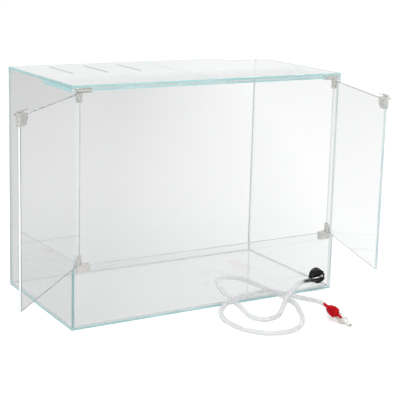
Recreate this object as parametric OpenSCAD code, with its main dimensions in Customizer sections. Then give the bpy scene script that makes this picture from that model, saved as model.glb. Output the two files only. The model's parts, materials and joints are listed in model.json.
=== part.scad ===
// Terrarium cabinet: a clear box with two hinged front doors, a slotted cover and a bottom drain.
// Millimetres, +Z up, the doors face -Y. The origin is the centre of the base's underside.

/* [Case] */
// Outside width of the case
case_w = 600; // [450:5:800]
// Outside depth of the case
case_d = 315; // [260:5:450]
// Outside height of the case
case_h = 460; // [340:5:600]
// Thickness of every clear panel
panel_t = 5; // [4:0.5:6]
// Height of the fixed front panel's top edge above the floor
front_panel_top = 124; // [90:1:160]
// Leg of the clear sealant bead in the inner corners
bead_leg = 3; // [1:0.5:4]

/* [Front brace] */
// Depth of the brace strip under the cover's front
brace_d = 140; // [60:5:160]
// Thickness of the brace strip
brace_t = 4; // [3:0.5:6]
// Open height between the brace and the cover
brace_gap = 2; // [1.8:0.1:3]

/* [Cover] */
// Width of one vent slot
slot_w = 3; // [2:0.5:6]
// Length of one vent slot
slot_l = 115; // [40:5:125]
// Distance from the brace's back edge to the slots
slot_setback = 25; // [10:1:30]
// Distance between the vent slots
slot_pitch = 75; // [30:5:85]
// Number of vent slots in the left cover pane
slot_count = 3; // [1:1:3]
// Width of the cable cut-out in the cover's back right corner
notch_w = 105; // [40:5:160]
// Depth of the cable cut-out
notch_d = 50; // [20:5:80]
// Open joint between the two cover panes
cover_joint = 0.6; // [0.2:0.1:2]

/* [Doors] */
// How far the left door stands open, in degrees
left_open = 134; // [0:1:140]
// How far the right door stands open, in degrees
right_open = 72; // [0:1:140]
// Distance from the case's side to the hinge axis
pivot_inset = 16; // [15:0.5:24]
// Distance from the hinge axis to the door's glass
glass_setoff = 3.5; // [3:0.1:5]
// Gap between the two closed doors
door_gap = 3; // [2.5:0.5:6]

/* [Hinges] */
// Length of a door clamp along the door
clamp_len = 20; // [14:1:40]
// Height of a door clamp
clamp_h = 17; // [14:1:30]
// Cheek thickness of a door clamp
clamp_cheek = 2; // [1.5:0.1:2.5]
// Radius of the rounded corner of a clamp's or a catch's cheeks
cheek_round = 13; // [2:0.5:13.5]
// Length of a lower fixed clip along the panel
lower_clip_len = 26; // [16:1:40]
// How far a lower fixed clip reaches down the panel
lower_clip_drop = 13.5; // [8:0.5:25]
// Cheek thickness of a lower fixed clip
lower_clip_cheek = 2.5; // [1.5:0.1:4]
// Top wall thickness of a lower fixed clip
lower_clip_top = 3; // [2:0.1:3.4]
// Length of an upper fixed clip along the brace
upper_clip_len = 30; // [18:1:40]
// How far an upper fixed clip reaches over the brace
upper_clip_reach = 14; // [8:0.5:30]
// Thickness of an upper fixed clip's lower leaf and web
upper_clip_leaf = 2.5; // [2:0.1:3]
// How far an upper fixed clip's web is set back behind its leaves
web_inset = 0.8; // [0.2:0.1:1.2]
// Radius of a hinge pin
pin_r = 1.25; // [1:0.05:1.5]
// Depth of a hinge pin in its door clamp
pin_depth = 10; // [5:0.5:12]

/* [Catches] */
// Length of a catch along the door
catch_len = 26; // [16:1:40]
// How far the finger tab stands out in front of the glass
tab_reach = 7; // [5:0.5:16]
// Thickness of the finger tab's plate
tab_t = 2.7; // [1.5:0.1:2.8]
// End wall of a catch at the door's free edge
catch_end = 1; // [0.8:0.1:1.2]

/* [Drain] */
// Distance from the case's right side to the drain's axis
drain_inset = 37.5; // [30:0.5:120]
// Height of the drain's axis above the floor
drain_h = 32; // [26:0.5:60]
// Radius of the threaded drain stem
stem_r = 6.5; // [5:0.25:8]
// Radius of the waterway through the drain
waterway_r = 3; // [1.5:0.25:4]
// Radius of the smooth inner flange
flange_r = 16.5; // [12:0.5:20]
// Thickness of the inner flange
flange_t = 2; // [1:0.5:4]
// Thickness of each drain gasket
gasket_t = 1; // [0.5:0.1:2]
// Outer radius over the nut's lobes
nut_r = 15.25; // [11:0.25:20]
// Thickness of the nut
nut_t = 7.5; // [4:0.5:12]
// Number of lobes on the nut
nut_lobes = 12; // [6:1:20]
// Distance from the nut's face to the elbow's arm axis
elbow_rise = 7.5; // [4:0.25:12]
// Outer radius of the elbow's arm
elbow_r = 4; // [3.75:0.25:5.5]
// Length of the elbow's arm from the drain's axis
elbow_arm = 45.5; // [38:0.5:60]
// Droop of the elbow's arm, in degrees
elbow_droop = 3; // [0:0.5:12]
// Length of the hose barb at the arm's end
barb_l = 15; // [8:0.5:18]
// Radius of the barb between its rings
barb_r = 2.9; // [2.8:0.05:3]
// Number of rings on the barb
barb_rings = 3; // [2:1:4]
// Radius of the bore through the elbow's arm
arm_bore_r = 2; // [1:0.1:2.2]

/* [Hose and valve] */
// Outer diameter of the hose
hose_d = 10; // [6:0.5:12]
// Length of the valve's lobed inlet nut
inlet_nut_l = 12; // [6:1:20]
// Length of the valve's body between its two nuts
body_l = 26; // [26:1:40]
// Radius of the valve's body
body_r = 7.5; // [6:0.25:8]
// Length of the lobed outlet nut
outlet_nut_l = 10; // [8:1:24]
// Radius over the lobes of the two nuts
valve_r = 9; // [8.5:0.25:10]
// Length of the outlet stub
stub_l = 20; // [16:1:30]
// Radius of the outlet stub
stub_r = 4.25; // [3.5:0.25:5]
// Radius over the lobes of the hand-wheel
wheel_r = 11; // [8:0.25:12]
// Thickness of the hand-wheel
wheel_t = 7; // [4:0.5:9]
// Length of the lever bar across the hand-wheel
lever_l = 56; // [30:1:56]
// Thickness of the lever bar
lever_t = 4; // [2:0.5:6]
// Width of the lever bar
lever_w = 5; // [3:0.5:6]

/* [Hidden] */
$fn = 48;

// Case planes
side_x = case_w / 2;
front_y = -case_d / 2;
wall_top = case_h - panel_t;
inner_x = side_x - panel_t;
brace_top = wall_top - brace_gap;
brace_bottom = brace_top - brace_t;

// Door heights: a small running gap under and over each door
run_gap = 0.5;
door_bottom = front_panel_top + lower_clip_top + run_gap;
door_top = brace_bottom - upper_clip_leaf - run_gap;
door_w = side_x - pivot_inset - glass_setoff - door_gap / 2;
half_t = panel_t / 2;
clamp_y = half_t + clamp_cheek;

// Hinge pins
pin_seat = 2.2;
pin_clear = 0.05;
bore_end = 0.5;
hinge_ahead = 6;
upper_ahead = 9;

// The upper leaves lie in the gap between the brace and the cover
leaf_clear = 0.4;
catch_clear = 0.3;

// The sealant under the brace starts behind the upper clips
bead_clear = 1;

// Drain and elbow
hole_clear = 0.5;
nut_lobe_r = 2.4;
drain_x = side_x - drain_inset;
nut_face = gasket_t + nut_t;
arm_y = -nut_face - elbow_rise;
stop_ring = 1.5;
barb_edge = 0.4;
barb_slope = 0.8;
corner_swell = 0.8;
ball_short = 1;
barb_end = [-elbow_arm * cos(elbow_droop), arm_y, drain_h - elbow_arm * sin(elbow_droop)];

// Valve on the hose's end, measured from the drain like the hose. It rests on two lobes of
// the outlet nut and on the stub's tip, so it leans forward, and its hand-wheel points to the side.
lobe_r = 2.8;
lobe_n = 6;
wheel_lobe_r = 3;
wheel_lobe_n = 8;
valve_turn = -90;
wheel_roll = 50;
nut_rest_h = (valve_r - lobe_r) * cos(180 / lobe_n) + lobe_r;
valve_lean = atan((nut_rest_h - stub_r) / stub_l);
valve_l = inlet_nut_l + body_l + outlet_nut_l + stub_l;
valve_at = [-78, -149, stub_r * cos(valve_lean) + valve_l * sin(valve_lean)];
valve_bore_r = 2.5;
hub_x = inlet_nut_l + body_l / 2;
outlet_nut_x = inlet_nut_l + body_l;
stub_x = outlet_nut_x + outlet_nut_l;
boss_r = 5.5;
boss_rise = 0.8;
boss_top = body_r + boss_rise;
spindle_r = 2.5;
spindle_deep = 3;
handle_gap = 0.3;
lever_corner = 1.4;

// The hose's route from the elbow to the valve. X runs from the drain's axis, Y from the
// case's front and Z from the floor. It drops to the floor, turns, climbs in a loop that
// leans on the front panel, circles on the floor, passes low along the panel again and
// rises to the valve.
hose_route = [
    [-62, -19, 27], [-80, -30, 23], [-98, -43, 20], [-117, -60, 18], [-136, -78, 15],
    [-155, -96, 10], [-172, -110, 6], [-189, -117, 5], [-207, -118, 5], [-222, -109, 6],
    [-231, -94, 10], [-238, -80, 20], [-249, -71, 32], [-261, -63, 43], [-270, -53, 54],
    [-271, -41, 63], [-264, -29, 68], [-248, -21, 68], [-228, -16, 64], [-206, -13, 58],
    [-182, -12, 49], [-160, -13, 38], [-142, -16, 29], [-126, -20, 21], [-112, -27, 14],
    [-102, -38, 8], [-98, -54, 5], [-104, -77, 5], [-117, -103, 5], [-132, -133, 5],
    [-151, -160, 5], [-174, -181, 5], [-202, -193, 5], [-230, -191, 5], [-254, -177, 5],
    [-272, -153, 5], [-280, -124, 5], [-281, -94, 5], [-274, -65, 5], [-261, -40, 5],
    [-244, -22, 7], [-224, -10, 10], [-201, -6, 14], [-176, -6, 17], [-150, -6, 18],
    [-124, -6, 17], [-102, -10, 12], [-84, -19, 8], [-72, -34, 6], [-66, -53, 7],
    [-64, -74, 10], [-66, -95, 14], [-70, -115, 17], [-74, -134, 18]
];
hose_sides = 10;

// Small helpers

// A box given by its low and high corners
module slab(low, high)
    translate(low)
        cube(high - low);

// A triangular bead in an inner corner, along +Z
module bead(length)
    linear_extrude(length)
        polygon([[0, 0], [bead_leg, 0], [0, bead_leg]]);

// A rounded rectangle from x1 to x2 and y1 to y2
module round_plate(x1, x2, y1, y2, r)
    hull()
        for (x = [x1 + r, x2 - r])
            for (y = [y1 + r, y2 - r])
                translate([x, y])
                    circle(r, $fn = 32);

// A rectangle from -back to len and 0 to height with one rounded corner, far and high
module corner_outline(back, len, height, round) {
    translate([-back, 0])
        square([back + len - round, height]);
    translate([-back, 0])
        square([back + len, height - round]);
    intersection() {
        translate([-back, 0])
            square([back + len, height]);
        translate([len - round, height - round])
            circle(round);
    }
}

// A round outline with rounded lobes, r over the lobes
module lobed(r, count, lobe)
    union() {
        circle(r - lobe / 2);
        for (i = [0:count - 1])
            rotate((i + 0.5) * 360 / count)
                translate([r - lobe, 0])
                    circle(lobe);
    }

// Places a child in a door's own frame: the hinge axis is Z, +X runs along the closed door
module at_hinge(right, open)
    translate([right ? side_x - pivot_inset : pivot_inset - side_x, front_y + half_t, 0])
        rotate(right ? open : -open)
            mirror([right ? 1 : 0, 0, 0])
                children();

// Places a child at the drain: Y from the case's front, Z from the floor
module at_drain()
    translate([drain_x, front_y, 0])
        children();

// Places a child along the valve's axis, +X towards the outlet
module at_valve()
    at_drain()
        translate(valve_at)
            rotate([0, valve_lean, valve_turn])
                children();

// Places a child on the valve's spindle, +Z away from the body
module at_spindle()
    translate([hub_x, 0, 0])
        rotate([wheel_roll, 0, 0])
            children();

// Panels of the case

module clear_panel(low, high)
    color([0.78, 0.90, 0.89, 0.35])
        slab(low, high);

module base_panel()
    clear_panel([-side_x, front_y, 0], [side_x, -front_y, panel_t]);

module left_wall()
    clear_panel([-side_x, front_y, panel_t], [-inner_x, -front_y, wall_top]);

module right_wall()
    clear_panel([inner_x, front_y, panel_t], [side_x, -front_y, wall_top]);

module back_panel()
    clear_panel([-inner_x, -front_y - panel_t, panel_t], [inner_x, -front_y, wall_top]);

module front_panel()
    color([0.78, 0.90, 0.89, 0.35])
        difference() {
            slab([-inner_x, front_y, panel_t], [inner_x, front_y + panel_t, front_panel_top]);
            at_drain()
                translate([0, -1, drain_h])
                    rotate([-90, 0, 0])
                        cylinder(r = stem_r + hole_clear, h = panel_t + 2);
        }

module front_brace()
    clear_panel([-inner_x, front_y, brace_bottom], [inner_x, front_y + brace_d, brace_top]);

module cover_left()
    color([0.78, 0.90, 0.89, 0.35])
        difference() {
            slab([-side_x, front_y, wall_top], [-cover_joint / 2, -front_y, case_h]);
            for (i = [1:slot_count])
                translate([-side_x + i * slot_pitch, front_y + brace_d + slot_setback, wall_top - 1])
                    linear_extrude(panel_t + 2)
                        union() {
                            translate([-slot_w / 2, slot_w / 2])
                                square([slot_w, slot_l - slot_w]);
                            for (y = [slot_w / 2, slot_l - slot_w / 2])
                                translate([0, y])
                                    circle(slot_w / 2);
                        }
        }

module cover_right()
    color([0.78, 0.90, 0.89, 0.35])
        difference() {
            slab([cover_joint / 2, front_y, wall_top], [side_x, -front_y, case_h]);
            slab([side_x - notch_w, -front_y - notch_d, wall_top - 1],
                 [side_x + 1, -front_y + 1, case_h + 1]);
        }

module silicone_seams()
    color([0.90, 0.94, 0.93, 0.6])
        for (side = [0, 1])
            mirror([side, 0, 0]) {
                // Base to wall, and wall to back
                translate([-inner_x, -front_y - panel_t, panel_t])
                    rotate([90, 0, 0])
                        bead(case_d - 2 * panel_t);
                translate([-inner_x, -front_y - panel_t, panel_t])
                    rotate(-90)
                        bead(wall_top - panel_t);
                // Wall to front panel, and wall to brace from below, behind the clip
                translate([-inner_x, front_y + panel_t, panel_t])
                    bead(front_panel_top - panel_t);
                translate([-inner_x, front_y + brace_d, brace_bottom])
                    rotate([90, 90, 0])
                        bead(brace_d - upper_clip_reach - bead_clear);
                // Base to back and base to front, half each
                translate([-inner_x, -front_y - panel_t, panel_t])
                    rotate([90, 0, 90])
                        mirror([1, 0, 0])
                            bead(inner_x);
                translate([-inner_x, front_y + panel_t, panel_t])
                    rotate([90, 0, 90])
                        bead(inner_x);
            }

// Doors

module door_glass(right, open)
    color([0.80, 0.91, 0.90, 0.35])
        at_hinge(right, open)
            slab([glass_setoff, -half_t, door_bottom], [glass_setoff + door_w, half_t, door_top]);

module left_door_glass()
    door_glass(false, left_open);

module right_door_glass()
    door_glass(true, right_open);

// A clamp on the door's hinge corner, with a blind bore for the pin at its outer end.
// Its cheeks are rounded at the corner that lies on the middle of the glass.
module door_clamp(right, open, upper)
    color([0.92, 0.94, 0.93])
        at_hinge(right, open)
            difference() {
                intersection() {
                    translate([0, 0, upper ? door_top - clamp_h : door_bottom])
                        linear_extrude(clamp_h)
                            difference() {
                                union() {
                                    circle(clamp_y);
                                    translate([0, -clamp_y])
                                        square([clamp_len, 2 * clamp_y]);
                                }
                                translate([glass_setoff, -half_t])
                                    square([clamp_len, panel_t]);
                            }
                    translate([0, clamp_y + 1, upper ? door_top : door_bottom])
                        mirror([0, 0, upper ? 1 : 0])
                            rotate([90, 0, 0])
                                linear_extrude(2 * clamp_y + 2)
                                    corner_outline(clamp_y + 1, clamp_len, clamp_h, cheek_round);
                }
                translate([0, 0, upper ? door_top - pin_depth - bore_end : door_bottom - 1])
                    cylinder(r = pin_r + pin_clear, h = pin_depth + bore_end + 1);
            }

module left_lower_door_clamp()
    door_clamp(false, left_open, false);

module left_upper_door_clamp()
    door_clamp(false, left_open, true);

module right_lower_door_clamp()
    door_clamp(true, right_open, false);

module right_upper_door_clamp()
    door_clamp(true, right_open, true);

// Fixed clips and pins

// An upside-down U on the front panel's top edge
module lower_clip(right)
    color([0.92, 0.94, 0.93])
        at_hinge(right, 0) {
            outer_y = half_t + lower_clip_cheek;
            clip_bottom = front_panel_top - lower_clip_drop;
            clip_top = front_panel_top + lower_clip_top;
            difference() {
                slab([-hinge_ahead, -outer_y, clip_bottom], [lower_clip_len - hinge_ahead, outer_y, clip_top]);
                slab([-hinge_ahead - 1, -half_t, clip_bottom - 1], [lower_clip_len, half_t, front_panel_top]);
                translate([0, 0, clip_top - pin_seat])
                    cylinder(r = pin_r, h = pin_seat + 1);
            }
        }

// A C over the brace's front edge, its upper leaf in the gap under the cover
module upper_clip(right)
    color([0.92, 0.94, 0.93])
        at_hinge(right, 0)
            difference() {
                slab([-upper_ahead, -half_t - upper_clip_leaf, brace_bottom - upper_clip_leaf],
                     [upper_clip_len - upper_ahead, upper_clip_reach - half_t, wall_top - leaf_clear]);
                slab([-upper_ahead - 1, -half_t, brace_bottom],
                     [upper_clip_len, upper_clip_reach, brace_top]);
                slab([-upper_ahead - 1, -half_t - upper_clip_leaf - 1, brace_bottom],
                     [upper_clip_len, -half_t - upper_clip_leaf + web_inset, brace_top]);
                translate([0, 0, brace_bottom - upper_clip_leaf - 1])
                    cylinder(r = pin_r, h = pin_seat + 1);
            }

module left_lower_hinge_clip()
    lower_clip(false);

module right_lower_hinge_clip()
    lower_clip(true);

module left_upper_hinge_clip()
    upper_clip(false);

module right_upper_hinge_clip()
    upper_clip(true);

module hinge_pin(right, upper)
    color([0.75, 0.76, 0.78])
        at_hinge(right, 0)
            translate([0, 0, upper ? door_top - pin_depth : door_bottom - run_gap - pin_seat])
                cylinder(r = pin_r, h = pin_depth + run_gap + pin_seat);

module left_lower_hinge_pin()
    hinge_pin(false, false);

module left_upper_hinge_pin()
    hinge_pin(false, true);

module right_lower_hinge_pin()
    hinge_pin(true, false);

module right_upper_hinge_pin()
    hinge_pin(true, true);

// A catch on the door's free upper corner. Its slot slips over the brace's front edge.
module catch(right, open)
    color([0.92, 0.94, 0.93])
        at_hinge(right, open)
            translate([glass_setoff + door_w + catch_end, 0, 0])
                difference() {
                    union() {
                        // Cheeks on both faces of the glass, joined at the free edge
                        translate([0, -clamp_y, door_top])
                            rotate([-90, 180, 0])
                                mirror([0, 1, 0])
                                    linear_extrude(2 * clamp_y)
                                        corner_outline(0, catch_len, clamp_h, cheek_round);
                        // Finger tab's plate
                        translate([0, 0, door_top])
                            linear_extrude(tab_t)
                                union() {
                                    round_plate(-catch_len, 0, -half_t - tab_reach, 0, 3);
                                    translate([-catch_len, -clamp_y])
                                        square([catch_len, 2 * clamp_y]);
                                }
                        // Web and upper plate
                        slab([-catch_len, -clamp_y - catch_clear, door_top],
                             [0, -half_t - catch_clear, wall_top - catch_clear]);
                        slab([-catch_len, -clamp_y - catch_clear, brace_top + catch_clear],
                             [0, clamp_y, wall_top - catch_clear]);
                    }
                    slab([-catch_len - 1, -half_t, door_top - clamp_h - 1], [-catch_end, half_t, door_top]);
                }

module left_catch()
    catch(false, left_open);

module right_catch()
    catch(true, right_open);

// Drain through the front panel

// Ring along Y around the drain's axis, from y1 to y2
module drain_ring(y1, y2, outer, inner)
    at_drain()
        translate([0, y1, drain_h])
            rotate([-90, 0, 0])
                difference() {
                    cylinder(r = outer, h = y2 - y1);
                    translate([0, 0, -1])
                        cylinder(r = inner, h = y2 - y1 + 2);
                }

module drain_body()
    color([0.08, 0.08, 0.09])
        union() {
            drain_ring(panel_t + gasket_t, panel_t + gasket_t + flange_t, flange_r, waterway_r);
            drain_ring(-nut_face, panel_t + gasket_t + flange_t, stem_r, waterway_r);
        }

module drain_inner_gasket()
    color([0.12, 0.12, 0.12])
        drain_ring(panel_t, panel_t + gasket_t, flange_r - gasket_t, stem_r);

module drain_outer_gasket()
    color([0.12, 0.12, 0.12])
        drain_ring(-gasket_t, 0, nut_r - nut_lobe_r, stem_r);

module drain_nut()
    color([0.08, 0.08, 0.09])
        at_drain()
            translate([0, -nut_face, drain_h])
                rotate([-90, 0, 0])
                    linear_extrude(nut_t)
                        difference() {
                            lobed(nut_r, nut_lobes, nut_lobe_r);
                            circle(stem_r);
                        }

// Half the arm's outline along +Y: a plain tube, a ring that stops the hose, and the barb
module arm_profile() {
    plain_l = elbow_arm - barb_l;
    stop_r = elbow_r + stop_ring / 2;
    ring_pitch = barb_l / (barb_rings + 1);
    polygon(concat(
        [[0, 0], [elbow_r, 0], [elbow_r, plain_l - stop_ring], [stop_r, plain_l - stop_ring],
         [stop_r, plain_l], [barb_r, plain_l]],
        [for (i = [1:barb_rings])
            each [[barb_r, plain_l + i * ring_pitch],
                  [barb_r + barb_edge, plain_l + i * ring_pitch],
                  [barb_r, plain_l + (i + barb_slope) * ring_pitch]]],
        [[barb_r, elbow_arm], [0, elbow_arm]]
    ));
}

module drain_elbow()
    color([0.08, 0.08, 0.09])
        at_drain()
            difference() {
                union() {
                    translate([0, arm_y, drain_h])
                        rotate([-90, 0, 0])
                            cylinder(r = stem_r, h = elbow_rise);
                    translate([0, arm_y, drain_h])
                        difference() {
                            sphere(r = stem_r + corner_swell);
                            // The corner's ball stops inside the neck
                            slab([-2 * stem_r, elbow_rise - ball_short, -2 * stem_r],
                                 [2 * stem_r, elbow_rise + 2 * stem_r, 2 * stem_r]);
                        }
                    translate([0, arm_y, drain_h])
                        rotate([0, -90 - elbow_droop, 0])
                            rotate_extrude()
                                arm_profile();
                }
                translate([0, arm_y - waterway_r, drain_h])
                    rotate([-90, 0, 0])
                        cylinder(r = waterway_r, h = waterway_r + elbow_rise + 1);
                translate([0, arm_y, drain_h])
                    rotate([0, -90 - elbow_droop, 0])
                        cylinder(r = arm_bore_r, h = elbow_arm + 1);
            }

// Hose

function unit(v) = v / norm(v);
function ring(at, along) =
    let (side = unit(cross(along, [0, 0, 1])), up = cross(side, along))
    [for (k = [0:hose_sides - 1])
        let (a = 360 * k / hose_sides)
        at + hose_d / 2 * (cos(a) * side + sin(a) * up)];

module hose()
    color([0.85, 0.90, 0.91, 0.6])
        at_drain() {
            arm = [-cos(elbow_droop), 0, -sin(elbow_droop)];
            level = cos(valve_lean);
            heading = [cos(valve_turn) * level, sin(valve_turn) * level, -sin(valve_lean)];
            path = concat([barb_end], hose_route, [valve_at]);
            last = len(path) - 1;
            along = [for (i = [0:last])
                i == 0 ? arm : i == last ? heading : unit(path[i + 1] - path[i - 1])];
            points = [for (i = [0:last]) each ring(path[i], along[i])];
            sides = [for (i = [0:last - 1])
                for (k = [0:hose_sides - 1])
                    let (m = (k + 1) % hose_sides, a = i * hose_sides, b = a + hose_sides)
                    each [[a + k, a + m, b + m], [a + k, b + m, b + k]]];
            near_end = [for (k = [1:hose_sides - 2]) [0, k + 1, k]];
            far = last * hose_sides;
            far_end = [for (k = [1:hose_sides - 2]) [far, far + k, far + k + 1]];
            polyhedron(points, concat(sides, near_end, far_end));
        }

// Valve on the hose's end

module valve_inlet()
    color([0.80, 0.10, 0.10])
        at_valve()
            rotate([0, 90, 0])
                linear_extrude(inlet_nut_l)
                    difference() {
                        lobed(valve_r, lobe_n, lobe_r);
                        circle(valve_bore_r);
                    }

module valve_body()
    color([0.90, 0.88, 0.84])
        at_valve()
            difference() {
                union() {
                    translate([inlet_nut_l, 0, 0])
                        rotate([0, 90, 0])
                            cylinder(r = body_r, h = body_l);
                    at_spindle()
                        cylinder(r = boss_r, h = boss_top);
                    translate([outlet_nut_x, 0, 0])
                        rotate([0, 90, 0])
                            linear_extrude(outlet_nut_l)
                                lobed(valve_r, lobe_n, lobe_r);
                    translate([stub_x, 0, 0])
                        rotate([0, 90, 0])
                            cylinder(r = stub_r, h = stub_l);
                }
                at_spindle()
                    translate([0, 0, boss_top - spindle_deep - bore_end])
                        cylinder(r = spindle_r + pin_clear, h = spindle_deep + bore_end + 1);
                translate([inlet_nut_l - 1, 0, 0])
                    rotate([0, 90, 0])
                        cylinder(r = valve_bore_r, h = valve_l - inlet_nut_l + 2);
            }

module valve_handle()
    color([0.80, 0.10, 0.10])
        at_valve()
            at_spindle() {
                translate([0, 0, boss_top - spindle_deep])
                    cylinder(r = spindle_r, h = spindle_deep + handle_gap);
                translate([0, 0, boss_top + handle_gap])
                    linear_extrude(wheel_t)
                        lobed(wheel_r, wheel_lobe_n, wheel_lobe_r);
                translate([0, 0, boss_top + handle_gap + wheel_t])
                    linear_extrude(lever_t)
                        round_plate(-lever_l / 2, lever_l / 2, -lever_w / 2, lever_w / 2, lever_corner);
            }

base_panel();
left_wall();
right_wall();
back_panel();
front_panel();
front_brace();
cover_left();
cover_right();
silicone_seams();
left_door_glass();
right_door_glass();
left_lower_hinge_clip();
left_upper_hinge_clip();
right_lower_hinge_clip();
right_upper_hinge_clip();
left_lower_hinge_pin();
left_upper_hinge_pin();
right_lower_hinge_pin();
right_upper_hinge_pin();
left_lower_door_clamp();
left_upper_door_clamp();
right_lower_door_clamp();
right_upper_door_clamp();
left_catch();
right_catch();
drain_body();
drain_inner_gasket();
drain_outer_gasket();
drain_nut();
drain_elbow();
hose();
valve_inlet();
valve_body();
valve_handle();
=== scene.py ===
import json
import math

import bmesh
import bpy
from mathutils import Matrix, Vector


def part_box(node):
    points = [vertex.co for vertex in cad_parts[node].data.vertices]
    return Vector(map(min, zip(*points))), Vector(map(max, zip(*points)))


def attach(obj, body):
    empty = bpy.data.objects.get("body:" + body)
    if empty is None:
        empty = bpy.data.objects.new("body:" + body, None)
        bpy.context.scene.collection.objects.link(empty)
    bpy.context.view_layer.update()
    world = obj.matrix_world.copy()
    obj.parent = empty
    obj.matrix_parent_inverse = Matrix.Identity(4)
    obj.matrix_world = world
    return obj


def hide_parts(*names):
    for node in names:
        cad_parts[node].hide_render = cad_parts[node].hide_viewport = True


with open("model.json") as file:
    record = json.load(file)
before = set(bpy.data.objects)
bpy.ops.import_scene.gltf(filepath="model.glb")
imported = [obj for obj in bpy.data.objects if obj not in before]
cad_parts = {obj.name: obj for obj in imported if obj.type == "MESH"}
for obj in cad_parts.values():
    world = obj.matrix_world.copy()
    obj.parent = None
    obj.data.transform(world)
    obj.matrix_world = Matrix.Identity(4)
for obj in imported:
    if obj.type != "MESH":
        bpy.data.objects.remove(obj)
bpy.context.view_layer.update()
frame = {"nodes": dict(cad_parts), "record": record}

# ---------------------------------------------------------------- sizes, in metres

PANEL_T = 0.005
# Pieces that are glued or butted together stay this far apart, so that they share no surface
SEAM_GAP = 0.0001
ARRIS = 0.0005
DOOR_ARRIS = 0.0008
# A door's edges this close to its pivot belong to the hinge side
HINGE_SIDE = 0.06
SOFT_EDGE = 0.0004
# A face of a moulding narrower than this is the edge of a thin plate
THIN_FACE = 0.0032

ELBOW_ARM = 0.0455
ELBOW_DROOP = math.radians(3)
ARM_OUT = 0.016
BARB_L = 0.015
HOSE_R = 0.005
HOSE_BORE_R = 0.0034
TUBE_SIDES = 24
HOSE_STEP = 0.003
# The first steps of the hose are stretched over the elbow's barb
STRETCHED_STEPS = 5
# The valve rests on two lobes of its outlet nut and on the stub's tip, so it leans forward
NUT_R, LOBE_R, LOBES = 0.009, 0.0028, 6
NUT_REST_H = (NUT_R - LOBE_R) * math.cos(math.pi / LOBES) + LOBE_R
STUB_L, STUB_R = 0.020, 0.00425
VALVE_L = 0.068
# The hose's curve is steered by a point this far inside the valve
VALVE_REACH = 0.018
TAIL_L = 0.016
TAIL_R, TAIL_RING_R, TAIL_TIP_R = 0.0026, 0.0032, 0.0022
# Where the tail's rings stand and how long each one tapers, as shares of its length
TAIL_RINGS = (0.2, 0.45, 0.7)
TAIL_TAPER = 0.2
VALVE_LEAN = math.atan((NUT_REST_H - STUB_R) / STUB_L)
VALVE_H = STUB_R * math.cos(VALVE_LEAN) + VALVE_L * math.sin(VALVE_LEAN)
VALVE_AT = Vector((-0.078, -0.149, VALVE_H))
VALVE_HEADING = Vector((0, -math.cos(VALVE_LEAN), -math.sin(VALVE_LEAN)))

# Places the other pieces are measured from
FRONT_PANEL_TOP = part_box("front_panel")[1][2]
BRACE_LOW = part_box("front_brace")[0]
base_low, base_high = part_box("base_panel")
nut_low, nut_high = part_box("drain_nut")
drain = Vector(((nut_low[0] + nut_high[0]) / 2, base_low[1], 0))
drain_h = (nut_low[2] + nut_high[2]) / 2

# ---------------------------------------------------------------- camera

CAMERA_AT = Vector((-1.10625, -1.95301, 0.72139))
CAMERA_AZIMUTH = math.radians(-30.38)
CAMERA_PITCH = math.radians(11.40)
CAMERA_ROLL = math.radians(1.43)
CAMERA_LENS = 99.59
CAMERA_SHIFT = (0.025, -0.095)


def make_camera():
    """The photograph's viewpoint: a long lens from the front left, a little above the case."""
    data = bpy.data.cameras.new("camera")
    data.lens = CAMERA_LENS
    data.sensor_width = 36
    data.shift_x, data.shift_y = CAMERA_SHIFT
    data.clip_end = 200
    sideways, ahead = math.sin(CAMERA_AZIMUTH), math.cos(CAMERA_AZIMUTH)
    level = math.cos(CAMERA_PITCH)
    back = Vector((sideways * level, -ahead * level, math.sin(CAMERA_PITCH)))
    right = (-back).cross(Vector((0, 0, 1))).normalized()
    up = right.cross(-back)
    tilted_right = right * math.cos(CAMERA_ROLL) + up * math.sin(CAMERA_ROLL)
    tilted_up = up * math.cos(CAMERA_ROLL) - right * math.sin(CAMERA_ROLL)
    camera = bpy.data.objects.new("camera", data)
    turn = Matrix((tilted_right, tilted_up, back)).transposed()
    camera.matrix_world = Matrix.Translation(CAMERA_AT) @ turn.to_4x4()
    bpy.context.collection.objects.link(camera)
    bpy.context.scene.camera = camera


# ---------------------------------------------------------------- material helpers


def node(tree, kind, **settings):
    """A new shader node with its properties set."""
    made = tree.nodes.new(kind)
    for name, value in settings.items():
        setattr(made, name, value)
    return made


def new_group(name, inputs, outputs):
    """A shader node group with (name, type, default) inputs and (name, type) outputs."""
    tree = bpy.data.node_groups.new(name, "ShaderNodeTree")
    for label, kind, default in inputs:
        socket = tree.interface.new_socket(name=label, in_out="INPUT", socket_type=kind)
        socket.default_value = default
    for label, kind in outputs:
        tree.interface.new_socket(name=label, in_out="OUTPUT", socket_type=kind)
    return tree, node(tree, "NodeGroupInput"), node(tree, "NodeGroupOutput")


def noise(tree, scale, detail=3.0):
    """Noise in the piece's own metres. The scale is a socket or a number."""
    spot = node(tree, "ShaderNodeTexCoord")
    made = node(tree, "ShaderNodeTexNoise")
    made.inputs["Detail"].default_value = detail
    tree.links.new(spot.outputs["Object"], made.inputs["Vector"])
    feed(tree, made.inputs["Scale"], scale)
    return made.outputs["Fac"]


def set_up(made, **values):
    """Plain values on a node's own sockets."""
    for name, value in values.items():
        made.inputs[name.replace("_", " ")].default_value = value


def feed(tree, socket, value):
    """Gives a socket its value: another node's output, or a plain number or colour."""
    if isinstance(value, (float, tuple)):
        socket.default_value = value
    else:
        tree.links.new(value, socket)


def blend_colours(tree, mask, first, second):
    """A colour mix by a mask. Each side is a socket or a plain colour."""
    mix = node(tree, "ShaderNodeMix", data_type="RGBA")
    tree.links.new(mask, mix.inputs["Factor"])
    feed(tree, mix.inputs[6], first)
    feed(tree, mix.inputs[7], second)
    return mix.outputs[2]


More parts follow.
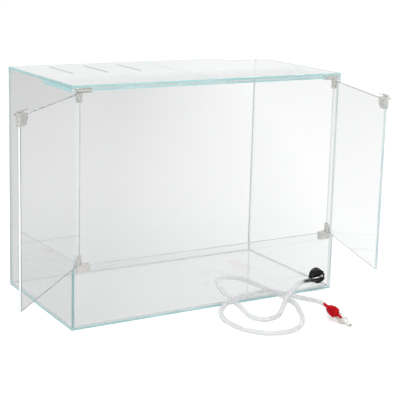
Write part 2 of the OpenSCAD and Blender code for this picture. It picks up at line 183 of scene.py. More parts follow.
def blend_values(tree, mask, first, second):
    """A plain mix of two values by a mask. Each side is a socket or a number."""
    mix = node(tree, "ShaderNodeMix", data_type="FLOAT")
    tree.links.new(mask, mix.inputs[0])
    feed(tree, mix.inputs[2], first)
    feed(tree, mix.inputs[3], second)
    return mix.outputs[0]


def either_mask(tree, first, second):
    """The stronger of two masks. The second may be a plain number."""
    either = node(tree, "ShaderNodeMath", operation="MAXIMUM")
    tree.links.new(first, either.inputs[0])
    feed(tree, either.inputs[1], second)
    return either.outputs[0]


def kinds_of_ray(tree, *names):
    """One mask for several kinds of ray."""
    path = node(tree, "ShaderNodeLightPath")
    mask = path.outputs[names[0]]
    for name in names[1:]:
        mask = either_mask(tree, mask, path.outputs[name])
    return mask


def own_place(tree):
    """The X, Y and Z of a point of the piece, in metres. The pieces' origins all lie at the frame's own."""
    axes = node(tree, "ShaderNodeSeparateXYZ")
    tree.links.new(node(tree, "ShaderNodeTexCoord").outputs["Object"], axes.inputs[0])
    return axes.outputs


def remap(tree, value, low, high, to_low, to_high):
    """A value moved from one range to another, held within it."""
    made = node(tree, "ShaderNodeMapRange")
    set_up(made, From_Min=low, From_Max=high, To_Min=to_low, To_Max=to_high)
    tree.links.new(value, made.inputs["Value"])
    return made.outputs["Result"]


FLOAT, COLOUR = "NodeSocketFloat", "NodeSocketColor"
# Scales are in waves per metre; a spread is the part of the noise that the mask stretches over
MOTTLE_SCALE, MOTTLE_SPREAD = 60.0, (0.35, 0.65)
GRAIN_DETAIL = 4.0
STREAK_DETAIL, STREAK_SPREAD = 2.0, (0.38, 0.62)
GRIND_SCALE = 900.0
DRIFT_SCALE, DRIFT_DETAIL, DRIFT_SPREAD = 2.5, 1.0, (0.3, 0.7)
# What a surface group puts out
SURFACE = (("Colour", COLOUR), ("Mask", FLOAT), ("Height", FLOAT))


def moulded_skin_group():
    """The faint mottle and grain of a moulded part: a colour, a roughness mask and a height."""
    inputs = (
        ("Colour", COLOUR, (0.5, 0.5, 0.5, 1)),
        ("Shade", COLOUR, (0.4, 0.4, 0.4, 1)),
        ("Scale", FLOAT, 300.0),
    )
    tree, given, out = new_group("moulded_skin", inputs, SURFACE)
    mottle = remap(tree, noise(tree, MOTTLE_SCALE), *MOTTLE_SPREAD, 0.0, 1.0)
    colour = blend_colours(tree, mottle, given.outputs["Colour"], given.outputs["Shade"])
    tree.links.new(colour, out.inputs["Colour"])
    tree.links.new(mottle, out.inputs["Mask"])
    tree.links.new(noise(tree, given.outputs["Scale"], GRAIN_DETAIL), out.inputs["Height"])
    return tree


def ground_edge_group():
    """The streaks of a ground glass edge: pale where it catches light, deep where it looks into the sheet."""
    inputs = (
        ("Pale", COLOUR, (0.8, 0.9, 0.9, 1)),
        ("Deep", COLOUR, (0.3, 0.5, 0.5, 1)),
        ("Scale", FLOAT, 30.0),
    )
    tree, given, out = new_group("ground_edge", inputs, SURFACE)
    streak = noise(tree, given.outputs["Scale"], STREAK_DETAIL)
    streak = remap(tree, streak, *STREAK_SPREAD, 0.0, 1.0)
    colour = blend_colours(tree, streak, given.outputs["Pale"], given.outputs["Deep"])
    tree.links.new(colour, out.inputs["Colour"])
    tree.links.new(streak, out.inputs["Mask"])
    tree.links.new(noise(tree, GRIND_SCALE, STREAK_DETAIL), out.inputs["Height"])
    return tree


def glass_drift_group():
    """The slow drift of a broad sheet between two near tints."""
    inputs = (("Deep", COLOUR, (0.95, 0.95, 0.95, 1)), ("Pale", COLOUR, (0.97, 0.97, 0.97, 1)))
    tree, given, out = new_group("glass_drift", inputs, [("Colour", COLOUR)])
    drift = remap(tree, noise(tree, DRIFT_SCALE, DRIFT_DETAIL), *DRIFT_SPREAD, 0.0, 1.0)
    colour = blend_colours(tree, drift, given.outputs["Deep"], given.outputs["Pale"])
    tree.links.new(colour, out.inputs["Colour"])
    return tree


def new_material(name):
    """An empty node material with its Principled shader and output."""
    made = bpy.data.materials.new(name)
    made.use_nodes = True
    tree = made.node_tree
    tree.nodes.clear()
    shader = node(tree, "ShaderNodeBsdfPrincipled")
    out = node(tree, "ShaderNodeOutputMaterial")
    tree.links.new(shader.outputs["BSDF"], out.inputs["Surface"])
    return made, tree, shader, out


def add_group(tree, shader, group, colours, scale, bump, rough):
    """Puts a surface group into a material: its colour, its grain as a bump (strength and distance in
    metres), and its mask as a roughness range. It gives back the colour.
    """
    surface = node(tree, "ShaderNodeGroup", node_tree=group)
    surface.inputs[0].default_value = colours[0]
    surface.inputs[1].default_value = colours[1]
    surface.inputs["Scale"].default_value = scale
    tree.links.new(surface.outputs["Colour"], shader.inputs["Base Color"])
    tree.links.new(remap(tree, surface.outputs["Mask"], 0.0, 1.0, *rough), shader.inputs["Roughness"])
    raised = node(tree, "ShaderNodeBump")
    set_up(raised, Strength=bump[0], Distance=bump[1])
    tree.links.new(surface.outputs["Height"], raised.inputs["Height"])
    tree.links.new(raised.outputs["Normal"], shader.inputs["Normal"])
    return surface.outputs["Colour"]


def let_light_through(tree, shader, out, tint, veil=0.0):
    """Shadow and diffuse rays pass straight through clear pieces, so that the floor under them stays lit.

    The veil, a number or a mask, is the share of all other light that passes straight through as well.
    """
    straight = either_mask(tree, kinds_of_ray(tree, "Is Shadow Ray", "Is Diffuse Ray"), veil)
    clear = node(tree, "ShaderNodeBsdfTransparent")
    clear.inputs["Color"].default_value = tint
    mix = node(tree, "ShaderNodeMixShader")
    tree.links.new(straight, mix.inputs[0])
    tree.links.new(shader.outputs["BSDF"], mix.inputs[1])
    tree.links.new(clear.outputs["BSDF"], mix.inputs[2])
    tree.links.new(mix.outputs["Shader"], out.inputs["Surface"])


# ---------------------------------------------------------------- materials

# What is left of light that passes straight through a piece
SHEET_TINT = (0.97, 0.975, 0.975, 1)
EDGE_TINT = (0.85, 0.92, 0.92, 1)
# The wall's painted lighter upper colour sets in over this height, and the sealant's painted cyan glow
# between these distances
UPPER_FADE = 0.02
BEAD_FADE = (0.006, 0.010)
# The part of Layer Weight's range over which the hose goes from its middle to its rim
RIM_SPREAD = (0.25, 0.75)
# Bumps: strength and distance in metres
FINE_BUMP = (0.1, 0.0002)
WIRE_BUMP = (0.1, 0.0001)
MOULDED_BUMP = (0.15, 0.0002)
RUBBER_BUMP = (0.3, 0.0003)


def clear_sheet(name, ior):
    """The broad faces of the glass, with a trace of grey that drifts over the sheet."""
    made, tree, shader, out = new_material(name)
    drift = node(tree, "ShaderNodeGroup", node_tree=glass_drift)
    set_up(drift, Deep=(0.955, 0.955, 0.956, 1), Pale=(0.968, 0.967, 0.967, 1))
    tree.links.new(drift.outputs["Colour"], shader.inputs["Base Color"])
    set_up(shader, Roughness=0.0, Metallic=0.0, IOR=ior, Transmission_Weight=1.0)
    let_light_through(tree, shader, out, SHEET_TINT)
    return made


def sheet_edge(name, pale, deep, clear=0.0, veil=0.0, upper=None, ior=1.5):
    """A narrow face of the glass, painted in lit or shaded tones. Light crosses the sheet to reach it, so it
    takes on the glass's own colour.

    The upper colour is painted light: the length above the fixed front panel is painted paler, where light
    comes in from behind.
    """
    made, tree, shader, out = new_material(name)
    streaks = add_group(tree, shader, edge_streaks, (pale, deep), 14.0, FINE_BUMP, (0.12, 0.3))
    if upper:
        height = own_place(tree)["Z"]
        above = remap(tree, height, FRONT_PANEL_TOP, FRONT_PANEL_TOP + UPPER_FADE, 0.0, 1.0)
        tree.links.new(blend_colours(tree, above, streaks, upper), shader.inputs["Base Color"])
    set_up(shader, Metallic=0.0, IOR=ior, Transmission_Weight=clear)
    let_light_through(tree, shader, out, SHEET_TINT if veil else EDGE_TINT, veil)
    return made


def sealant():
    """Cured clear silicone in the inner corners."""
    made, tree, shader, out = new_material("sealant")
    colours = ((0.82, 0.83, 0.83, 1), (0.70, 0.71, 0.71, 1))
    plain = add_group(tree, shader, skin, colours, 500.0, FINE_BUMP, (0.1, 0.2))
    # Painted light: the bead along the brace's left end is painted in the glowing cyan of that end
    spot = own_place(tree)
    near, far = BEAD_FADE
    at_left = remap(tree, spot["X"], BRACE_LOW[0] + far, BRACE_LOW[0] + near, 0.0, 1.0)
    at_brace = remap(tree, spot["Z"], BRACE_LOW[2] - far, BRACE_LOW[2] - near, 0.0, 1.0)
    painted_end_glow = blend_colours(tree, at_left, plain, (0.30, 0.86, 0.86, 1))
    tree.links.new(blend_colours(tree, at_brace, plain, painted_end_glow), shader.inputs["Base Color"])
    set_up(shader, Metallic=0.0, IOR=1.41, Transmission_Weight=0.0)
    let_light_through(tree, shader, out, SHEET_TINT, 0.78)
    return made


def clip_plastic(name, colours, clear, tint, veil=0.0, ior=1.2):
    """The translucent plastic of the clips, clamps and catches."""
    made, tree, shader, out = new_material(name)
    add_group(tree, shader, skin, colours, 700.0, MOULDED_BUMP, (0.2, 0.34))
    set_up(shader, Metallic=0.0, IOR=ior, Transmission_Weight=clear)
    let_light_through(tree, shader, out, tint, veil)
    return made


def hose_vinyl(name, clear, ior, rough, veil, rim_veil):
    """Flexible vinyl, cloudy along its length and clear where it is stretched over the barb.

    At the rims one looks along the wall, so less light passes straight through there than in the middle.
    """
    made, tree, shader, out = new_material(name)
    colours = ((0.93, 0.925, 0.93, 1), (0.88, 0.875, 0.88, 1))
    add_group(tree, shader, skin, colours, 250.0, FINE_BUMP, rough)
    set_up(shader, Metallic=0.0, IOR=ior, Transmission_Weight=clear)
    at_rim = node(tree, "ShaderNodeLayerWeight").outputs["Facing"]
    through = remap(tree, at_rim, *RIM_SPREAD, veil, rim_veil)
    let_light_through(tree, shader, out, (0.93, 0.935, 0.935, 1), through)
    return made


def opaque(name, colours, scale, bump, rough, ior=1.5, metallic=0.0):
    """An opaque moulding, rubber or metal."""
    made, tree, shader, _ = new_material(name)
    add_group(tree, shader, skin, colours, scale, bump, rough)
    set_up(shader, Metallic=metallic, IOR=ior)
    return made


skin = moulded_skin_group()
edge_streaks = ground_edge_group()
glass_drift = glass_drift_group()
CLEAR = clear_sheet("clear_sheet", 1.5)
# The sheet at the back mirrors little of what stands in front of it
BACK_CLEAR = clear_sheet("back_sheet", 1.15)

# The edges of one glass, as lit and shaded copies, each with its pale and its deep colour. They are painted
# light and shade: paler on the right wall, the doors' free edges, the glued faces and the brace's glowing
# ends, darker on the left wall, the left door's thin faces, the cut-outs and the back corners
EDGE = sheet_edge("sheet_edge", (0.52, 0.76, 0.76, 1), (0.40, 0.63, 0.63, 1), 0.12)
WALL_EDGE = sheet_edge(
    "left_wall_edge", (0.42, 0.62, 0.60, 1), (0.30, 0.47, 0.45, 1), 0.1, upper=(0.72, 0.78, 0.79, 1)
)
COVER_EDGE = sheet_edge("cover_edge", (0.50, 0.75, 0.75, 1), (0.40, 0.67, 0.67, 1), 0.12)
FAR_EDGE = sheet_edge("right_wall_edge", (0.80, 0.90, 0.91, 1), (0.64, 0.77, 0.79, 1), 0.2)
DOOR_EDGE = sheet_edge("door_edge", (0.84, 0.95, 0.96, 1), (0.68, 0.84, 0.85, 1), 0.25)
THIN_EDGE = sheet_edge("thin_edge", (0.42, 0.44, 0.44, 1), (0.22, 0.24, 0.24, 1), 0.3)
PALE_EDGE = sheet_edge("pale_edge", (0.50, 0.50, 0.50, 1), (0.40, 0.41, 0.41, 1), 0.1, ior=1.2)
PANEL_EDGE = sheet_edge("front_panel_edge", (0.60, 0.69, 0.72, 1), (0.48, 0.57, 0.60, 1), 0.12)
FREE_EDGE = sheet_edge("left_door_free_edge", (0.97, 0.99, 0.99, 1), (0.90, 0.95, 0.96, 1))
GLUED_EDGE = sheet_edge("glued_edge", (0.80, 0.82, 0.82, 1), (0.68, 0.71, 0.71, 1), veil=0.75, ior=1.2)
CUT_EDGE = sheet_edge("cut_edge", (0.46, 0.49, 0.49, 1), (0.38, 0.41, 0.41, 1), ior=1.0)
CORNER_EDGE = sheet_edge("corner_edge", (0.42, 0.47, 0.48, 1), (0.34, 0.40, 0.41, 1), veil=0.35, ior=1.2)
BRACE_END = sheet_edge("brace_end", (0.42, 0.93, 0.95, 1), (0.34, 0.86, 0.89, 1), ior=1.2)

SEALANT = sealant()
MILK = ((0.75, 0.735, 0.71, 1), (0.65, 0.635, 0.61, 1))
MILK_TINT = (0.85, 0.85, 0.84, 1)
MILKY = clip_plastic("milky_plastic", MILK, 0.4, MILK_TINT)
CATCH_PLASTIC = clip_plastic("catch_plastic", MILK, 0.2, MILK_TINT, veil=0.5)
# The narrow faces of the same mouldings, a shaded copy of the plastic: painted dark, for the shade seen where
# one looks along the plastic
RIM = clip_plastic(
    "plastic_rim", ((0.36, 0.35, 0.34, 1), (0.22, 0.21, 0.20, 1)), 0.2, (0.6, 0.6, 0.59, 1), ior=1.35
)
VINYL = hose_vinyl("hose_vinyl", 0.3, 1.2, (0.34, 0.44), 0.7, 0.1)
CLEAR_VINYL = hose_vinyl("stretched_vinyl", 0.9, 1.12, (0.05, 0.1), 0.8, 0.2)
BLACK = opaque(
    "black_moulding", ((0.003, 0.003, 0.003, 1), (0.006, 0.006, 0.006, 1)),
    600.0, FINE_BUMP, (0.08, 0.16), ior=1.33,
)  # fmt: skip
GASKET = opaque(
    "gasket_rubber", ((0.02, 0.02, 0.02, 1), (0.035, 0.034, 0.033, 1)),
    900.0, RUBBER_BUMP, (0.5, 0.7),
)  # fmt: skip
RED = opaque(
    "red_moulding", ((0.56, 0.001, 0.008, 1), (0.34, 0.001, 0.006, 1)),
    500.0, MOULDED_BUMP, (0.14, 0.24), ior=1.2,
)  # fmt: skip
IVORY = opaque(
    "ivory_moulding", ((0.80, 0.785, 0.75, 1), (0.70, 0.685, 0.65, 1)),
    500.0, MOULDED_BUMP, (0.28, 0.42), ior=1.3,
)  # fmt: skip
STEEL = opaque(
    "drawn_steel", ((0.62, 0.63, 0.64, 1), (0.5, 0.51, 0.52, 1)),
    900.0, WIRE_BUMP, (0.22, 0.35), metallic=1.0,
)  # fmt: skip

# ---------------------------------------------------------------- mesh helpers

# Vertices closer than this are one
WELD_GAP = 1e-6
# Faces that meet at less than this lie in one plane
FLAT_ANGLE = math.radians(1)
# Edges sharper than this are bevelled on fresh meshes, on the CAD's own, and left sharp in shading
ARRIS_ANGLE = math.radians(30)
CAD_ARRIS_ANGLE = math.radians(40)
CREASE = math.radians(35)
BEVEL_STEPS = 2
# Two directions are one above the first cosine, and belong to one side above the second
SAME_WAY = 0.99
SAME_SIDE = 0.9
# A normal that rises less than the first is upright, and more than the second looks up or down
UPRIGHT, TILTED = 0.1, 0.3


def place(name, mesh, *materials):
    """A new object from a finished mesh, with its material slots."""
    made = bpy.data.objects.new(name, mesh)
    bpy.context.collection.objects.link(made)
    for material in materials:
        mesh.materials.append(material)
    return made


def ring_points(centre, side, up, radius):
    """The points of one ring of a tube."""
    turns = [2 * math.pi * k / TUBE_SIDES for k in range(TUBE_SIDES)]
    return [centre + (side * math.cos(turn) + up * math.sin(turn)) * radius for turn in turns]


def mesh_of(solid, name):
    """A mesh from a finished bmesh, which is freed."""
    mesh = bpy.data.meshes.new(name)
    solid.to_mesh(mesh)
    solid.free()
    return mesh


def shade_smooth(mesh):
    """Smooth shading that keeps sharp edges."""
    mesh.polygons.foreach_set("use_smooth", [True] * len(mesh.polygons))
    mesh.set_sharp_from_angle(angle=CREASE)


def clean_copy(name):
    """A bmesh of a CAD node with its triangles joined back into whole faces."""
    solid = bmesh.new()
    solid.from_mesh(frame["nodes"][name].data)
    bmesh.ops.remove_doubles(solid, verts=solid.verts, dist=WELD_GAP)
    bmesh.ops.dissolve_limit(solid, angle_limit=FLAT_ANGLE, verts=solid.verts, edges=solid.edges)
    solid.normal_update()
    return solid


def draw_in(solid, gap):
    """Moves every face inwards by a small gap, so that glued sheets don't share a surface."""
    moves = {}
    for corner in solid.verts:
        sides = []
        for face in corner.link_faces:
            if all(face.normal.dot(side) < SAME_SIDE for side in sides):
                sides.append(face.normal.copy())
        moves[corner] = sum(sides, Vector())
    for corner, move in moves.items():
        corner.co -= move * gap


def round_sharp_edges(solid, width, keep=None):
    """Bevels the sharp edges, but not those of the faces whose material slot is the one to keep."""
    sharp = [
        edge for edge in solid.edges
        if len(edge.link_faces) == 2 and edge.calc_face_angle(0) > ARRIS_ANGLE
        and all(face.material_index != keep for face in edge.link_faces)
    ]  # fmt: skip
    bmesh.ops.bevel(
        solid, geom=sharp, offset=width, segments=BEVEL_STEPS, profile=0.5, affect="EDGES", clamp_overlap=True
    )


# ---------------------------------------------------------------- glass

SHEETS = (
    "base_panel", "left_wall", "right_wall", "back_panel", "front_panel", "front_brace",
    "cover_left", "cover_right", "left_door_glass", "right_door_glass",
)  # fmt: skip


def body_of_node(name):
    """The body that carries a CAD node."""
    bodies = frame["record"]["behaviour"]["bodies"]
    return next(body for body, names in bodies.items() if name in names)


# The sides on which a sheet is glued to its neighbours
GLUED_SIDES = {
    "left_wall": ("+z", "-z"),
    "right_wall": ("+z", "-z"),
    "back_panel": ("+x", "-x", "+z", "-z"),
    "front_panel": ("+x", "-x", "-z"),
}
# The main edge of each sheet that doesn't take the common one
EDGES = {
    "left_wall": WALL_EDGE,
    "right_wall": FAR_EDGE,
    "cover_left": COVER_EDGE,
    "cover_right": COVER_EDGE,
    "front_panel": PANEL_EDGE,
}


def side_of(normal):
    """The nearest axis direction, such as +x."""
    axis = max(range(3), key=lambda k: abs(normal[k]))
    return ("+" if normal[axis] > 0 else "-") + "xyz"[axis]


# A sheet's material slots, in their order
BROAD, RIMS, THIN, GLUED, FREE, BRACE_ENDS, CUT, CORNER = range(8)


def glass_sheet(name):
    """A sheet of float glass: clear faces, blue-green ground edges and a fine arris all round."""
    solid = clean_copy(name)
    is_door = name.endswith("door_glass")
    is_right = name.startswith("right")
    broad = max(solid.faces, key=lambda face: face.calc_area()).normal.copy()
    low = [min(corner.co[k] for corner in solid.verts) for k in range(3)]
    high = [max(corner.co[k] for corner in solid.verts) for k in range(3)]
    clamp = name.replace("glass", "clamp").replace("door", "lower_door")
    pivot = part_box(clamp)[0] if is_door else None

    def away_from_rims(face):
        """Along how many axes the face lies well inside the sheet, as a slot's or cut-out's own faces do."""
        middle = face.calc_center_median()
        return sum(min(middle[k] - low[k], high[k] - middle[k]) > PANEL_T for k in range(3))

    for face in solid.faces:
        middle = face.calc_center_median()
        end_on = abs(face.normal.x) > SAME_SIDE
        if abs(face.normal.dot(broad)) > SAME_WAY:
            face.material_index = BROAD
        elif is_door:
            at_hinge = math.hypot(middle.x - pivot[0], middle.y - pivot[1]) < HINGE_SIDE
            face.material_index = THIN if abs(face.normal.z) > TILTED or at_hinge else FREE
        elif name == "back_panel" and end_on:
            face.material_index = CORNER
        elif side_of(face.normal) in GLUED_SIDES.get(name, ()):
            face.material_index = GLUED
        elif away_from_rims(face) == 2:
            face.material_index = CUT
        elif name == "front_brace" and end_on:
            face.material_index = BRACE_ENDS
        else:
            face.material_index = RIMS
    draw_in(solid, SEAM_GAP)
    flat = [face.normal.copy() for face in solid.faces]
    round_sharp_edges(solid, DOOR_ARRIS if is_door else ARRIS, keep=GLUED)
    solid.normal_update()
    # The arrises: painted dark lines on the left door and paler painted lines on the right door, the edge's
    # own painted colour elsewhere
    for face in solid.faces:
        if any(face.normal.dot(normal) >= SAME_WAY for normal in flat):
            continue
        if is_door:
            upright = abs(face.normal.z) < UPRIGHT
            face.material_index = FREE if upright and is_right else THIN
        else:
            face.material_index = CUT if away_from_rims(face) == 2 else RIMS
    # The right side takes the lighter painted edges and the left side the darker ones: lit and shaded copies
    # of one glass edge
    made = place(
        name + "_sheet", mesh_of(solid, name + "_sheet"),
        BACK_CLEAR if name == "back_panel" else CLEAR, EDGES.get(name, EDGE),
        PALE_EDGE if is_right else THIN_EDGE, GLUED_EDGE,
        FREE_EDGE if name.startswith("left") else DOOR_EDGE, BRACE_END, CUT_EDGE, CORNER_EDGE,
    )  # fmt: skip
    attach(made, body_of_node(name))
    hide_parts(name)


# ---------------------------------------------------------------- hose

# The route from the elbow to the valve, as in the part's source: X from the drain's axis, Y from
# the case's front and Z from the floor, in metres
HOSE_ROUTE = (
    (-0.062, -0.019, 0.027), (-0.080, -0.030, 0.023), (-0.098, -0.043, 0.020), (-0.117, -0.060, 0.018),
    (-0.136, -0.078, 0.015), (-0.155, -0.096, 0.010), (-0.172, -0.110, 0.006), (-0.189, -0.117, 0.005),
    (-0.207, -0.118, 0.005), (-0.222, -0.109, 0.006), (-0.231, -0.094, 0.010), (-0.238, -0.080, 0.020),
    (-0.249, -0.071, 0.032), (-0.261, -0.063, 0.043), (-0.270, -0.053, 0.054), (-0.271, -0.041, 0.063),
    (-0.264, -0.029, 0.068), (-0.248, -0.021, 0.068), (-0.228, -0.016, 0.064), (-0.206, -0.013, 0.058),
    (-0.182, -0.012, 0.049), (-0.160, -0.013, 0.038), (-0.142, -0.016, 0.029), (-0.126, -0.020, 0.021),
    (-0.112, -0.027, 0.014), (-0.102, -0.038, 0.008), (-0.098, -0.054, 0.005), (-0.104, -0.077, 0.005),
    (-0.117, -0.103, 0.005), (-0.132, -0.133, 0.005), (-0.151, -0.160, 0.005), (-0.174, -0.181, 0.005),
    (-0.202, -0.193, 0.005), (-0.230, -0.191, 0.005), (-0.254, -0.177, 0.005), (-0.272, -0.153, 0.005),
    (-0.280, -0.124, 0.005), (-0.281, -0.094, 0.005), (-0.274, -0.065, 0.005), (-0.261, -0.040, 0.005),
    (-0.244, -0.022, 0.007), (-0.224, -0.010, 0.010), (-0.201, -0.006, 0.014), (-0.176, -0.006, 0.017),
    (-0.150, -0.006, 0.018), (-0.124, -0.006, 0.017), (-0.102, -0.010, 0.012), (-0.084, -0.019, 0.008),
    (-0.072, -0.034, 0.006), (-0.066, -0.053, 0.007), (-0.064, -0.074, 0.010), (-0.066, -0.095, 0.014),
    (-0.070, -0.115, 0.017), (-0.074, -0.134, 0.018),
)  # fmt: skip


def hose_line():
    """Closely spaced points on one smooth curve from the barb's foot to the valve. None is lower than the
    hose can lie.
    """
    arm = Vector((-math.cos(ELBOW_DROOP), 0, -math.sin(ELBOW_DROOP)))
    tip = Vector((0, -ARM_OUT, drain_h)) + arm * ELBOW_ARM
    start = tip - arm * (BARB_L - SEAM_GAP)
    route = [start, tip] + [Vector(point) for point in HOSE_ROUTE] + [VALVE_AT]
    knots = [start - arm * BARB_L] + route + [VALVE_AT + VALVE_HEADING * VALVE_REACH]
    line = []
    for a, b, c, d in zip(knots, knots[1:], knots[2:], knots[3:]):
        steps = max(2, round((c - b).length / HOSE_STEP))
        for step in range(steps):
            t = step / steps
            bend = 2 * a - 5 * b + 4 * c - d
            rise = 3 * b - a - 3 * c + d
            line.append(b + 0.5 * ((c - a) * t + bend * t * t + rise * t * t * t))
    line.append(VALVE_AT)
    for point in line:
        point.z = max(point.z, HOSE_R)
    return [drain + point for point in line]


def rings_along(line, radius):
    """Rings of points round a line. Each ring's frame follows on from the last, so the tube doesn't twist."""
    side = Vector((0, 0, 1)).cross(line[1] - line[0]).normalized()
    rings = []
    for i, point in enumerate(line):
        along = (line[min(i + 1, len(line) - 1)] - line[max(i - 1, 0)]).normalized()
        side = (side - along * side.dot(along)).normalized()
        rings.append(ring_points(point, side, along.cross(side), radius))
    return rings


def make_tail():
    """The valve's barbed tail, seen in red through the end of the hose."""
    foot = drain + VALVE_AT - VALVE_HEADING * SEAM_GAP
    steps = [(0.0, TAIL_R)]
    for start in TAIL_RINGS:
        steps += [(start, TAIL_R), (start, TAIL_RING_R), (start + TAIL_TAPER, TAIL_R)]
    steps += [(1.0, TAIL_TIP_R)]
    side = VALVE_HEADING.cross(Vector((0, 0, 1))).normalized()
    up = side.cross(VALVE_HEADING)
    solid = bmesh.new()
    rings = []
    for share, radius in steps:
        centre = foot - VALVE_HEADING * TAIL_L * share
        rings.append([solid.verts.new(point) for point in ring_points(centre, side, up, radius)])
    for low, high in zip(rings, rings[1:]):
        for k in range(TUBE_SIDES):
            m = (k + 1) % TUBE_SIDES
            solid.faces.new((low[k], low[m], high[m], high[k]))
    solid.faces.new(rings[0])
    solid.faces.new(rings[-1])
    bmesh.ops.recalc_face_normals(solid, faces=solid.faces)
    mesh = mesh_of(solid, "valve_tail")
    shade_smooth(mesh)
    made = place("valve_tail", mesh, RED)
    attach(made, "case")
    return made


def make_hose():
    """The drain hose: a clear tube with its bore, open at both ends."""
    line = hose_line()
    solid = bmesh.new()
    skins = []
    for radius in (HOSE_R, HOSE_BORE_R):
        skins.append([[solid.verts.new(p) for p in ring] for ring in rings_along(line, radius)])
    outer, inner = skins
    for k in range(TUBE_SIDES):
        m = (k + 1) % TUBE_SIDES
        for i, (low, high) in enumerate(zip(outer, outer[1:])):
            solid.faces.new((low[k], low[m], high[m], high[k])).material_index = i < STRETCHED_STEPS
        for i, (low, high) in enumerate(zip(inner, inner[1:])):
            solid.faces.new((low[m], low[k], high[k], high[m])).material_index = i < STRETCHED_STEPS
        solid.faces.new((outer[0][m], outer[0][k], inner[0][k], inner[0][m]))
        solid.faces.new((outer[-1][k], outer[-1][m], inner[-1][m], inner[-1][k]))
    bmesh.ops.recalc_face_normals(solid, faces=solid.faces)
    mesh = mesh_of(solid, "drain_hose")
    shade_smooth(mesh)
    made = place("drain_hose", mesh, VINYL, CLEAR_VINYL)
    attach(made, "case")
    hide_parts("hose")
    valve = ("valve_inlet", "valve_body", "valve_handle")
    on_it = [frame["nodes"][name] for name in valve] + [make_tail()]


# ---------------------------------------------------------------- mouldings

# What the CAD nodes that stay are made of. The pins are steel.
FINISHES = {
    "silicone_seams": SEALANT,
    "drain_body": BLACK,
    "drain_nut": BLACK,
    "drain_elbow": BLACK,
    "drain_inner_gasket": GASKET,
    "drain_outer_gasket": GASKET,
    "valve_inlet": RED,
    "valve_handle": RED,
    "valve_body": IVORY,
}


# A moulding's two material slots
BODY, PLATE_EDGE = range(2)


def clip_moulding(name):
    """A clip, clamp or catch: a translucent body with softened edges. Thin plates are painted dark end on, as
    painted shade, on the left side only.
    """
    solid = clean_copy(name)
    is_catch = name.endswith("catch")
    has_plates = is_catch or "upper_hinge" in name
    for face in solid.faces:
        longest = max(edge.calc_length() for edge in face.edges)
        thin = face.calc_area() / longest < THIN_FACE
        face.material_index = PLATE_EDGE if has_plates and thin else BODY
    round_sharp_edges(solid, SOFT_EDGE / 2)
    mesh = mesh_of(solid, name + "_moulding")
    shade_smooth(mesh)
    # Painted shade: the left side's thin plates take the dark shaded copy, the right side's keep the body's
    # plastic
    rim = MILKY if name.startswith("right") else RIM
    made = place(name + "_moulding", mesh, CATCH_PLASTIC if is_catch else MILKY, rim)
    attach(made, body_of_node(name))
    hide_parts(name)


def finish_cad_nodes():
    """Materials and rounded edges for the CAD nodes that stay, and fresh mouldings for the clips."""
    for name, solid in list(frame["nodes"].items()):
        if name in SHEETS or name == "hose":
            continue
        if name not in FINISHES and not name.endswith("_pin"):
            clip_moulding(name)
            continue
        solid.data.materials.clear()
        solid.data.materials.append(FINISHES.get(name, STEEL))
        if name.endswith("_pin") or name == "silicone_seams":
            continue
        weld = solid.modifiers.new("joined", "WELD")
        weld.merge_threshold = WELD_GAP
        rounded = solid.modifiers.new("rounded", "BEVEL")
        rounded.width = SOFT_EDGE
        rounded.segments = BEVEL_STEPS
        rounded.limit_method = "ANGLE"
        rounded.angle_limit = CAD_ARRIS_ANGLE
        rounded.harden_normals = True


# ---------------------------------------------------------------- studio

FLOOR_SIZE = 80.0
# The table lies this far under the case, so that they don't share a surface
FLOOR_DROP = 0.0002
FLOOR_WHITE = (0.96, 0.96, 0.96, 1)
FLOOR_GLOW = 0.26
# Painted shade: the table's tone through glass is painted from dim to pale along the case's diagonal, from
# its back left corner to its front right one. The dim side is painted a little dimmer in front than behind
# the case.
DIAGONAL = Vector((base_high[0] - base_low[0], base_low[1] - base_high[1], 0)).normalized()
BEHIND = Vector((-DIAGONAL.y, DIAGONAL.x, 0))
DIAGONAL_RANGE = (-0.15, 0.5)
BEHIND_RANGE = (-0.14, 1.16)
LEFT_DIM, RIGHT_DIM = 0.69, 0.91
NEAR_DIM = 0.92
# A painted reflection: its tone in reflections is painted from dark to pale along X
GLOSS_RANGE = (-0.5, 2.2)
LEFT_GLOSS, RIGHT_GLOSS = 0.3, 0.85
WORLD_COLOUR = (0.99, 1.0, 1.0, 1)
WORLD_LIGHT = 0.78
# The ring overhead that gloss sees: its strength, and the heights between which it sets in and ends
RING_GLOSS = 42.0
RING_START, RING_END = (0.72, 0.80), (0.90, 0.95)
KEY_AT, KEY_AIM = (-2.8, -3.2, 5.2), (0, 0, 0.1)
KEY_SIZE, KEY_POWER = 2.0, 150


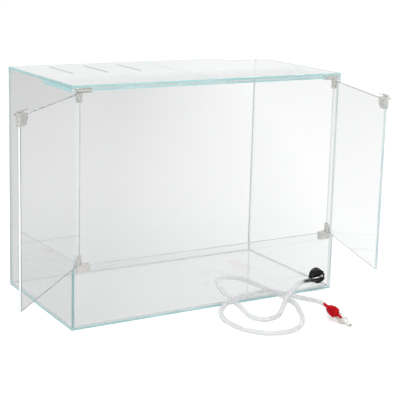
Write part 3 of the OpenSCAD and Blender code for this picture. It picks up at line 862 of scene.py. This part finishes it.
def make_floor():
    """A plain white table that keeps the object's shadow. Glass and gloss see it with painted shade and a
    painted reflection, darker to the left.
    """
    half = FLOOR_SIZE / 2
    mesh = bpy.data.meshes.new("floor")
    corners = [(-half, -half, 0), (half, -half, 0), (half, half, 0), (-half, half, 0)]
    mesh.from_pydata(corners, [], [(0, 1, 2, 3)])
    material, tree, shader, _ = new_material("white_table")
    set_up(shader, Roughness=1.0, Specular_IOR_Level=0.0, Emission_Color=(1, 1, 1, 1))
    position = node(tree, "ShaderNodeNewGeometry").outputs["Position"]
    measures = []
    for direction, limits in ((DIAGONAL, DIAGONAL_RANGE), (BEHIND, BEHIND_RANGE)):
        along = node(tree, "ShaderNodeVectorMath", operation="DOT_PRODUCT")
        along.inputs[1].default_value = direction
        tree.links.new(position, along.inputs[0])
        measures.append(remap(tree, along.outputs["Value"], *limits, 0.0, 1.0))
    sideways, far = measures
    left = remap(tree, far, 0.0, 1.0, LEFT_DIM * NEAR_DIM, LEFT_DIM)
    through = blend_values(tree, sideways, left, RIGHT_DIM)
    axes = node(tree, "ShaderNodeSeparateXYZ")
    tree.links.new(position, axes.inputs[0])
    mirrored = remap(tree, axes.outputs["X"], *GLOSS_RANGE, LEFT_GLOSS, RIGHT_GLOSS)
    # A ray that went through glass counts as glossy too, so the transmission mask comes last
    level = blend_values(tree, kinds_of_ray(tree, "Is Glossy Ray"), 1.0, mirrored)
    level = blend_values(tree, kinds_of_ray(tree, "Is Transmission Ray"), level, through)
    colour = blend_colours(tree, level, (0, 0, 0, 1), FLOOR_WHITE)
    tree.links.new(colour, shader.inputs["Base Color"])
    seen = kinds_of_ray(tree, "Is Camera Ray", "Is Glossy Ray", "Is Transmission Ray")
    glow = remap(tree, blend_values(tree, seen, 0.0, level), 0.0, 1.0, 0.0, FLOOR_GLOW)
    tree.links.new(glow, shader.inputs["Emission Strength"])
    made = place("floor", mesh, material)
    made.location.z = -FLOOR_DROP


def make_world():
    """A white studio, seen at full white by the camera and through glass. The light it gives is lower."""
    world = bpy.data.worlds.new("studio")
    bpy.context.scene.world = world
    world.use_nodes = True
    tree = world.node_tree
    tree.nodes.clear()
    light = node(tree, "ShaderNodeBackground")
    light.inputs["Color"].default_value = WORLD_COLOUR
    out = node(tree, "ShaderNodeOutputWorld")
    # A ray that went through glass counts as glossy too, so the transmission mask comes last
    direction = node(tree, "ShaderNodeSeparateXYZ")
    tree.links.new(node(tree, "ShaderNodeTexCoord").outputs["Generated"], direction.inputs[0])
    rise = remap(tree, direction.outputs["Z"], *RING_START, 1.0, RING_GLOSS)
    past = remap(tree, direction.outputs["Z"], *RING_END, 0.0, 1.0)
    ring = blend_values(tree, past, rise, 1.0)
    level = blend_values(tree, kinds_of_ray(tree, "Is Glossy Ray"), WORLD_LIGHT, ring)
    level = blend_values(tree, kinds_of_ray(tree, "Is Camera Ray", "Is Transmission Ray"), level, 1.0)
    tree.links.new(level, light.inputs["Strength"])
    tree.links.new(light.outputs[0], out.inputs["Surface"])


def make_lamp(name, at, towards, size, power):
    """A soft square lamp that points at a place."""
    data = bpy.data.lights.new(name, "AREA")
    data.shape = "SQUARE"
    data.size = size
    data.energy = power
    lamp = bpy.data.objects.new(name, data)
    lamp.location = at
    lamp.rotation_mode = "QUATERNION"
    lamp.rotation_quaternion = (Vector(towards) - Vector(at)).to_track_quat("-Z", "Y")
    bpy.context.collection.objects.link(lamp)


# ---------------------------------------------------------------- build

make_camera()
make_hose()
for sheet_name in SHEETS:
    glass_sheet(sheet_name)
finish_cad_nodes()
make_floor()
make_world()
make_lamp("key_lamp", KEY_AT, KEY_AIM, KEY_SIZE, KEY_POWER)
bpy.context.scene.view_settings.view_transform = "Standard"
